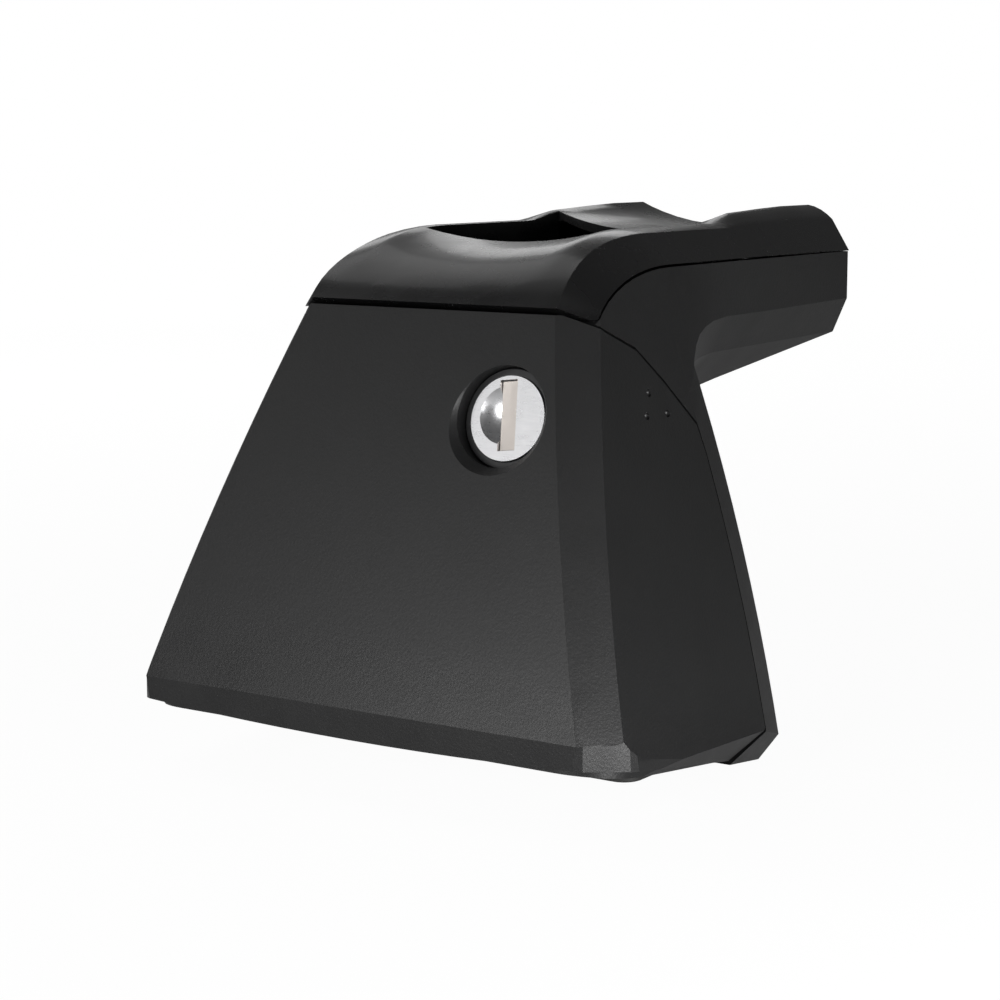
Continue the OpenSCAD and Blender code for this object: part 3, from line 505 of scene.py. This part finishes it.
@dataclass(frozen=True)
class Thread:
    """An outside thread that is turned on a shank which the frame holds as a plain cylinder."""

    crest: float = 3.97 * MM
    root: float = 3.35 * MM
    pitch: float = 1.25 * MM
    steps: int = 32
    run_out: float = 0.7 * MM

    def turn(self, mesh: bmesh.types.BMesh, origin: Vector, axis: Vector, start: float, end: float) -> None:
        """Turns the shank down to the thread's root and winds the ridge on it.

        Args:
            mesh: the mesh with the shank.
            origin: a point on the shank's axis.
            axis: unit vector along the shank, away from its head.
            start: distance from origin to the thread's first turn.
            end: distance from origin to the shank's tip.
        """
        for station in (start, start + self.run_out):
            bmesh.ops.bisect_plane(mesh, geom=[*mesh.verts, *mesh.edges, *mesh.faces], dist=1e-7,
                                   plane_co=origin + axis * station, plane_no=axis)
        for vert in mesh.verts:
            along = (vert.co - origin).dot(axis)
            out = vert.co - origin - axis * along
            if along > start + 0.9 * self.run_out and 0.8 * self.root < out.length < 1.1 * self.crest:
                vert.co = origin + axis * along + out.normalized() * (self.root + 0.02 * MM)
        self._wind(mesh, origin + axis * start, axis, end - start - 0.4 * self.pitch)

    def _wind(self, mesh: bmesh.types.BMesh, place: Vector, axis: Vector, length: float) -> None:
        """Winds the ridge from place along axis, with both of its ends closed."""
        side = axis.orthogonal().normalized()
        shares = [(0.0, self.root), (0.125, self.root), (0.4375, self.crest), (0.5625, self.crest), (0.875, self.root),
                  (1.0, self.root)]
        verts = [mesh.verts.new(place + side * r + axis * (share * self.pitch)) for share, r in shares]
        edges = [mesh.edges.new(pair) for pair in zip(verts, verts[1:])]
        turns = int((length - self.pitch) / self.pitch)
        spun = bmesh.ops.spin(mesh, geom=verts + edges, cent=place, axis=axis, dvec=axis * (self.pitch / self.steps),
                              angle=math.tau * turns, steps=self.steps * turns)
        last = [part for part in spun["geom_last"] if isinstance(part, bmesh.types.BMVert)]
        mesh.faces.new(list(reversed(verts)))
        mesh.faces.new(sorted(last, key=lambda v: v.co.dot(axis)))
        wound = [v for v in mesh.verts if v.index == -1 or v in verts]
        bmesh.ops.remove_doubles(mesh, verts=mesh.verts, dist=1e-6)
        LOG.info("thread of %d turns, %d new points", turns, len(wound))


def joint_line(name: str) -> tuple[Vector, Vector]:
    """Point and unit axis of a hinge of the frame.

    Args:
        name: the joint's name.

    Returns:
        Its point and its axis, in the row frame.
    """
    row = next(joint for joint in frame["joints"] if joint["name"] == name)
    return Vector(row["pos_m"]), Vector(row["axis"]).normalized()


@dataclass(frozen=True)
class ArmRoot:
    """Where the arm's sides grow out of the tower's, flush with them."""

    station: float = 8.0 * MM
    bevel_start: float = 3.9 * MM
    low: float = 71.5 * MM
    side_low: float = 37.81 * MM
    flare: float = 0.297
    step: float = 1.3 * MM

    def shape(self, mesh: bmesh.types.BMesh) -> None:
        """Brings the rear bevel above the arm's root out to the plane of the tower's side."""
        for vert in mesh.verts:
            place = vert.co
            gap = self.side_low - self.flare * (place.z - self.low) - abs(place.x)
            ahead = self.bevel_start < place.y < self.station + 0.02 * MM
            if ahead and place.z > self.low and 0.0 < gap < self.step:
                place.x += math.copysign(gap, place.x)
        bmesh.ops.remove_doubles(mesh, verts=mesh.verts, dist=0.02 * MM)
        bmesh.ops.dissolve_degenerate(mesh, dist=0.005 * MM, edges=mesh.edges)


def share_between(value: float, start: float, end: float) -> float:
    """Share of the way from start to end, held between 0 and 1."""
    return min(max((value - start) / (end - start), 0.0), 1.0)


@dataclass(frozen=True)
class CoverForm:
    """Faces of the cover near its foot, by their slopes and places."""

    band_top: float = 17.0 * MM
    foot: float = 48.6 * MM
    lean: float = 0.25
    half: float = 54.0 * MM
    flare: float = 0.297
    skirt_out: float = 1.5 * MM
    bevel_depth: float = 6.8 * MM
    bevel_turn: float = math.radians(38.0)
    corner: float = 13.0 * MM
    rim_middle: float = 3.8 * MM
    rim_tilt: float = math.radians(8.8)
    chamfer: float = 9.5 * MM

    def front(self, height: float) -> float:
        """Place of the leaning front face at a height."""
        return self.lean * (height - self.band_top) - self.foot

    def side(self, height: float) -> float:
        """Half width between the flared sides at a height."""
        return self.half - self.flare * (height - self.band_top)

    def rim(self, depth: float) -> float:
        """Height of the tilted rim at a place along the foot."""
        return self.rim_middle - math.tan(self.rim_tilt) * depth

    def bevel(self, height: float) -> float:
        """Distance of the corner's bevel face from the middle, square to the face, which is upright in the band."""
        turn, height = self.bevel_turn, max(height, self.band_top)
        return self.side(height) * math.cos(turn) - (self.front(height) + self.bevel_depth) * math.sin(turn)

    def bevel_meets_foot(self, height: float) -> float:
        """Half width at which the bevel face meets the upright band."""
        return (self.bevel(height) - self.foot * math.sin(self.bevel_turn)) / math.cos(self.bevel_turn)

    def reach(self, centre: Vector, way: Vector, height: float) -> float:
        """Distance along a way from a corner's centre to the first of the cover's faces."""
        turn = self.bevel_turn
        square = centre.x * math.cos(turn) - centre.y * math.sin(turn)
        reaches = []
        if way.y < -1e-6:
            reaches.append((-self.foot - centre.y) / way.y)
        if way.x > 1e-6:
            reaches.append((min(self.half + self.skirt_out, self.side(height)) - centre.x) / way.x)
        reaches.append((self.bevel(height) - square) / (way.x * math.cos(turn) - way.y * math.sin(turn)))
        return min(reaches)


@dataclass(frozen=True)
class CoverFoot:
    """Foot of the cover: corner bevels that run on through the band, and a rim that rises towards both corners."""

    form: CoverForm = field(default_factory=CoverForm)
    rise: float = 1.7 * MM
    front: float = -20.0 * MM
    back: float = 18.0 * MM
    corner_top: float = 26.0 * MM
    cuts: int = 14

    def shape(self, mesh: bmesh.types.BMesh) -> None:
        """Runs the bevels down, cuts the cover across its width and lifts the rim in an arc."""
        self._run_bevels_down(mesh)
        form = self.form
        for index in range(1, self.cuts):
            place = Vector((form.half * (2.0 * index / self.cuts - 1.0), 0.0, 0.0))
            bmesh.ops.bisect_plane(mesh, geom=[*mesh.verts, *mesh.edges, *mesh.faces], dist=1e-7, plane_co=place,
                                   plane_no=Vector((1.0, 0.0, 0.0)))
        for vert in mesh.verts:
            place = vert.co
            down = share_between(place.z, form.band_top, form.rim(place.y))
            ahead = share_between(place.y, self.back, self.front)
            place.z += self.rise * down * ahead * (place.x / form.half) ** 2

    def _run_bevels_down(self, mesh: bmesh.types.BMesh) -> None:
        """Moves the band's rounded corners out to the faces that meet there."""
        form, near = self.form, 0.06 * MM
        bmesh.ops.bisect_plane(mesh, geom=[*mesh.verts, *mesh.edges, *mesh.faces], dist=1e-7,
                               plane_co=Vector((0.0, 0.0, form.band_top)), plane_no=Vector((0.0, 0.0, 1.0)))
        centre = Vector((form.half + form.skirt_out - form.corner, form.corner - form.foot, 0.0))
        rounded = []
        for vert in mesh.verts:
            way = Vector((abs(vert.co.x), vert.co.y, 0.0)) - centre
            if min(way.x, -way.y) > -near and vert.co.z < self.corner_top and abs(way.length - form.corner) < near:
                rounded.append((vert, way.normalized()))
        first = form.bevel_meets_foot(form.band_top)
        last = form.bevel_meets_foot(form.rim(-form.foot))
        peak = max((abs(v.co.x) for v, _ in rounded if v.co.z > form.band_top + near
                    and v.co.y < form.front(v.co.z) + 2.0 * near), default=form.half)
        for vert, way in rounded:
            side = math.copysign(1.0, vert.co.x)
            ahead = centre.x + form.corner * way.x / max(-way.y, 1e-6)
            above = vert.co.z > form.rim(vert.co.y) + near
            if above and abs(vert.co.x) < peak + near:
                share = share_between(abs(vert.co.x), centre.x, peak)
                vert.co = Vector((side * (centre.x + share * (first - centre.x)), -form.foot, form.band_top))
            elif above and ahead < last:
                height = form.band_top + share_between(ahead, first, last) * (form.rim(-form.foot) - form.band_top)
                vert.co = Vector((side * max(ahead, first), -form.foot, height + 0.2 * MM))
            elif ahead < last:
                vert.co = Vector((side * ahead, -form.foot, form.rim(-form.foot) - 0.02 * MM))
            else:
                length = max(form.reach(centre, way, vert.co.z), form.corner)
                vert.co = Vector((side * (centre.x + length * way.x), centre.y + length * way.y, vert.co.z))


@dataclass(frozen=True)
class CapEnds:
    """Lower ends of the cap: rounded tips over the cover's corners, a closed seam at the arm's end."""

    tip_y: float = -18.02 * MM
    tip_z: float = 86.18 * MM
    tip_half: float = 31.0 * MM
    tip_round: float = 1.3 * MM
    seam_z: float = 95.2 * MM
    end_y: float = 86.0 * MM
    closed_by: float = 0.36 * MM

    def shape(self, mesh: bmesh.types.BMesh) -> None:
        """Rounds the tips and brings the end wall down onto the arm."""
        near = 0.05 * MM
        tips = [e for e in mesh.edges if all(abs(v.co.y - self.tip_y) < near and abs(v.co.z - self.tip_z) < near
                                             and abs(v.co.x) > self.tip_half for v in e.verts)]
        bmesh.ops.bevel(mesh, geom=tips, offset=self.tip_round, offset_type="OFFSET", segments=4, profile=0.5,
                        affect="EDGES", clamp_overlap=False, material=-1)
        for vert in mesh.verts:
            if vert.co.y > self.end_y and abs(vert.co.z - self.seam_z) < near:
                vert.co.z -= self.closed_by


# Sub-assemblies


@dataclass
class Mouldings:
    """Tower, cap, cover and pad: the plastic and rubber that the foot shows."""

    finishes: Finishes

    def build(self) -> None:
        """Builds the four mouldings on their bodies."""
        rows = [
            (Fitting("tower_body", "tower_moulding", Slot.BODY, 0.0, smooth_degrees=13.0, shape=ArmRoot().shape),
             Body.FOOT),
            (Fitting("saddle_cap", "saddle_shell", Slot.CAP, 0.0, smooth_degrees=34.0, shape=CapEnds().shape),
             Body.FOOT),
            (Fitting("front_cover", "cover_shell", Slot.COVER, 0.0, smooth_degrees=13.0, shape=CoverFoot().shape),
             Body.COVER),
            (Fitting("roof_pad", "rubber_pad", Slot.PAD, 0.4 * MM), Body.FOOT),
        ]
        for fitting, body in rows:
            fitting.build(body, self.finishes)


@dataclass
class LockUnit:
    """Sleeve, core, shutter, cam and latch."""

    finishes: Finishes

    def build(self) -> None:
        """Builds the lock's pieces on their bodies."""
        rows = [
            (Fitting("lock_housing", "lock_sleeve", Slot.HOUSING, 0.25 * MM), Body.COVER),
            (Fitting("housing_clip", "sleeve_spring", Slot.DARK_STEEL, 0.15 * MM), Body.COVER),
            (Fitting("lock_core", "core_barrel", Slot.LOCK_METAL, 0.12 * MM), Body.LOCK),
            (Fitting("lock_cam", "locking_cam", Slot.STEEL, 0.2 * MM), Body.LOCK),
            (Fitting("cam_screw", "cam_fixing", Slot.DARK_STEEL, 0.15 * MM), Body.LOCK),
            (Fitting("key_shutter", "keyway_flap", Slot.SHUTTER, 0.05 * MM), Body.SHUTTER),
            (Fitting("latch_plate", "latch_strike", Slot.STEEL, 0.2 * MM), Body.FOOT),
            (Fitting("latch_screw", "strike_screw", Slot.DARK_STEEL, 0.1 * MM), Body.FOOT),
        ]
        for fitting, body in rows:
            fitting.build(body, self.finishes)


@dataclass
class RoofClamp:
    """Chassis, carriage, clamp screw and cross nut."""

    finishes: Finishes
    thread: Thread = field(default_factory=Thread)
    thread_start: float = 15.2 * MM
    shank_end: float = 34.5 * MM

    def _turn_thread(self, mesh: bmesh.types.BMesh) -> None:
        """Turns the clamp screw's thread, behind the groove of its snap ring."""
        origin, axis = joint_line("clamp_turn")
        self.thread.turn(mesh, origin, axis, self.thread_start, self.shank_end)

    def build(self) -> None:
        """Builds the clamp's pieces on their bodies."""
        rows = [
            (Fitting("chassis", "clamp_chassis", Slot.STEEL, 0.35 * MM), Body.FOOT),
            (Fitting("chassis_screws", "chassis_fixings", Slot.STEEL, 0.2 * MM), Body.FOOT),
            (Fitting("clamp_nut", "cross_nut", Slot.STEEL, 0.3 * MM), Body.FOOT),
            (Fitting("clamp_bolt", "clamp_screw_shank", Slot.STEEL, 0.25 * MM, work=self._turn_thread),
             Body.CLAMP_SCREW),
            (Fitting("clamp_ring", "clamp_snap_ring", Slot.DARK_STEEL, 0.1 * MM), Body.CLAMP_SCREW),
            (Fitting("clamp_washer", "clamp_plain_washer", Slot.STEEL, 0.15 * MM), Body.CARRIAGE),
            (Fitting("clip_carriage", "carriage_block", Slot.STEEL, 0.4 * MM), Body.CARRIAGE),
            (Fitting("guide_pin", "guide_rod", Slot.STEEL, 0.2 * MM), Body.CARRIAGE),
            (Fitting("pin_rings", "rod_snap_rings", Slot.DARK_STEEL, 0.1 * MM), Body.CARRIAGE),
            (Fitting("carriage_liners", "nylon_liners", Slot.LINER, 0.1 * MM), Body.CARRIAGE),
        ]
        for fitting, body in rows:
            fitting.build(body, self.finishes)


@dataclass
class BarFixing:
    """T-bolt, nut, washer, load plate and the cap's screws."""

    finishes: Finishes
    thread: Thread = field(default_factory=Thread)
    thread_share: float = 0.42

    def _turn_thread(self, mesh: bmesh.types.BMesh) -> None:
        """Turns the lower stretch of the T-bolt's shank."""
        low, high = (corner.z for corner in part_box("bar_bolt"))
        origin, axis = joint_line("bar_turn")
        origin = Vector((origin.x, origin.y, high))
        self.thread.turn(mesh, origin, axis, self.thread_share * (high - low), high - low)

    def build(self) -> None:
        """Builds the bar's fixing on its bodies."""
        rows = [
            (Fitting("bar_bolt", "tee_bolt", Slot.DARK_STEEL, 0.3 * MM, work=self._turn_thread), Body.TEE_BOLT),
            (Fitting("bar_nut", "tee_nut", Slot.STEEL, 0.3 * MM), Body.TEE_NUT),
            (Fitting("bar_washer", "tee_washer", Slot.STEEL, 0.15 * MM), Body.FOOT),
            (Fitting("load_plate", "load_spreader", Slot.DARK_STEEL, 0.3 * MM), Body.FOOT),
            (Fitting("cap_screws", "cap_fixings", Slot.DARK_STEEL, 0.2 * MM), Body.FOOT),
        ]
        for fitting, body in rows:
            fitting.build(body, self.finishes)


# Studio


@dataclass
class SoftLamp:
    """One area lamp that looks at the foot."""

    name: str
    place: tuple[float, float, float]
    size: tuple[float, float]
    power: float

    def build(self, target: Vector) -> None:
        """Adds the lamp.

        Args:
            target: the point that it looks at.
        """
        data = bpy.data.lights.new(self.name, "AREA")
        data.shape = "RECTANGLE"
        data.size, data.size_y = self.size
        data.energy = self.power
        lamp = bpy.data.objects.new(self.name, data)
        lamp.location = self.place
        lamp.rotation_euler = (target - Vector(self.place)).to_track_quat("-Z", "Y").to_euler()
        bpy.context.scene.collection.objects.link(lamp)


@dataclass
class Studio:
    """Camera, white floor, white world and soft lamps."""

    camera_place: tuple[float, float, float] = (0.260, -0.3836, 0.1194)
    camera_azimuth: float = 34.1
    camera_drop: float = 8.63
    lens: float = 86.58
    glossy_white: float = 0.10
    lamps: list[SoftLamp] = field(default_factory=lambda: [
        SoftLamp("Front softbox", (0.0, -0.881, 0.180), (0.4, 0.4), 4.2),
        SoftLamp("Low front card", (-0.283, -0.626, 0.098), (0.25, 0.1), 0.41),
        SoftLamp("Near front card", (-0.104, -0.376, 0.042), (0.15, 0.08), 0.08),
        SoftLamp("Lock card", (-0.448, -0.595, 0.325), (0.24, 0.24), 0.16),
        SoftLamp("Front left softbox", (-0.521, -0.511, 0.571), (0.4, 0.4), 0.20),
        SoftLamp("Left softbox", (-0.737, 0.01, 0.571), (0.4, 0.4), 0.55),
        SoftLamp("Top strip", (-0.544, 0.208, 0.744), (0.6, 0.3), 0.42),
        SoftLamp("Back strip", (-0.577, 0.587, 0.435), (0.6, 0.2), 0.60),
        SoftLamp("Low right card", (0.329, -0.110, 0.032), (0.15, 0.06), 1.0),
        SoftLamp("Right softbox", (0.737, 0.01, 0.571), (0.4, 0.4), 0.32),
        SoftLamp("Low back card", (0.606, 0.36, 0.052), (0.3, 0.1), 0.14),
    ])

    def build(self) -> None:
        """Builds the studio."""
        self._camera()
        self._world()
        self._floor()
        target = Vector((0.0, 0.01, 0.055))
        for lamp in self.lamps:
            lamp.build(target)

    def _camera(self) -> None:
        """Places the camera at the photograph's angle."""
        data = bpy.data.cameras.new("Camera")
        data.lens = self.lens
        data.sensor_width = 36.0
        data.clip_start = 0.01
        camera = bpy.data.objects.new("Camera", data)
        camera.location = self.camera_place
        camera.rotation_euler = (math.radians(90.0 - self.camera_drop), 0.0, math.radians(self.camera_azimuth))
        bpy.context.scene.collection.objects.link(camera)
        bpy.context.scene.camera = camera

    def _world(self) -> None:
        """A white surround that lights the foot softly."""
        world = bpy.data.worlds.new("White surround")
        bpy.context.scene.world = world
        world.use_nodes = True
        tree = world.node_tree
        back = tree.nodes["Background"]
        back.inputs["Color"].default_value = (1.0, 1.0, 1.0, 1.0)
        link(tree, self._seen_white(tree, 1.0), back.inputs["Strength"])

    def _seen_white(self, tree: bpy.types.NodeTree, camera: float) -> bpy.types.NodeSocket:
        """Strength of the white that only some rays see.

        Args:
            tree: the tree that uses it.
            camera: strength for rays from the camera.

        Returns:
            A socket that gives camera rays the full white, and reflections and rays through glass a share of it.
        """
        path = tree.nodes.new("ShaderNodeLightPath")
        through = math_node(tree, "MAXIMUM", path.outputs["Is Glossy Ray"], path.outputs["Is Transmission Ray"])
        reflected = math_node(tree, "MULTIPLY", through.outputs[0], self.glossy_white)
        seen = math_node(tree, "MULTIPLY", path.outputs["Is Camera Ray"], camera)
        return math_node(tree, "MAXIMUM", seen.outputs[0], reflected.outputs[0]).outputs[0]

    def _floor(self) -> None:
        """A white floor that keeps a faint shadow, and a little painted shade around the foot, where its glow is
        weaker.
        """
        mesh = bmesh.new()
        bmesh.ops.create_grid(mesh, x_segments=1, y_segments=1, size=6.0)
        data = bpy.data.meshes.new("Studio_floor")
        mesh.to_mesh(data)
        mesh.free()
        material = bpy.data.materials.new("White floor")
        material.use_nodes = True
        tree = material.node_tree
        paint = tree.nodes["Principled BSDF"]
        paint.inputs["Base Color"].default_value = (0.92, 0.92, 0.92, 1.0)
        paint.inputs["Roughness"].default_value = 0.9
        paint.inputs["Specular IOR Level"].default_value = 0.1
        glow = tree.nodes.new("ShaderNodeEmission")
        away = tree.nodes.new("ShaderNodeVectorMath")
        away.operation = "LENGTH"
        link(tree, tree.nodes.new("ShaderNodeTexCoord").outputs["Object"], away.inputs[0])
        # Painted shade: the glow is weaker near the foot than far off, so the floor is a little darker around the
        # foot, where its real shadow also falls.
        strength = remap(tree, away.outputs["Value"], 0.2, 1.2, 1.06, 1.11)
        link(tree, strength.outputs["Result"], glow.inputs["Strength"])
        mix = tree.nodes.new("ShaderNodeMixShader")
        link(tree, self._seen_white(tree, 0.9), mix.inputs[0])
        link(tree, paint.outputs[0], mix.inputs[1])
        link(tree, glow.outputs[0], mix.inputs[2])
        link(tree, mix.outputs[0], tree.nodes["Material Output"].inputs["Surface"])
        data.materials.append(material)
        floor = bpy.data.objects.new("Studio_floor", data)
        bpy.context.scene.collection.objects.link(floor)


def main() -> None:
    logging.basicConfig(level=logging.INFO, format="%(name)s: %(message)s")
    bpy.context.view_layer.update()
    bpy.context.scene.view_settings.view_transform = "Standard"
    Studio().build()
    finishes = Finishes()
    for part in (Mouldings(finishes), LockUnit(finishes), RoofClamp(finishes), BarFixing(finishes)):
        part.build()


if __name__ == "__main__":
    main()
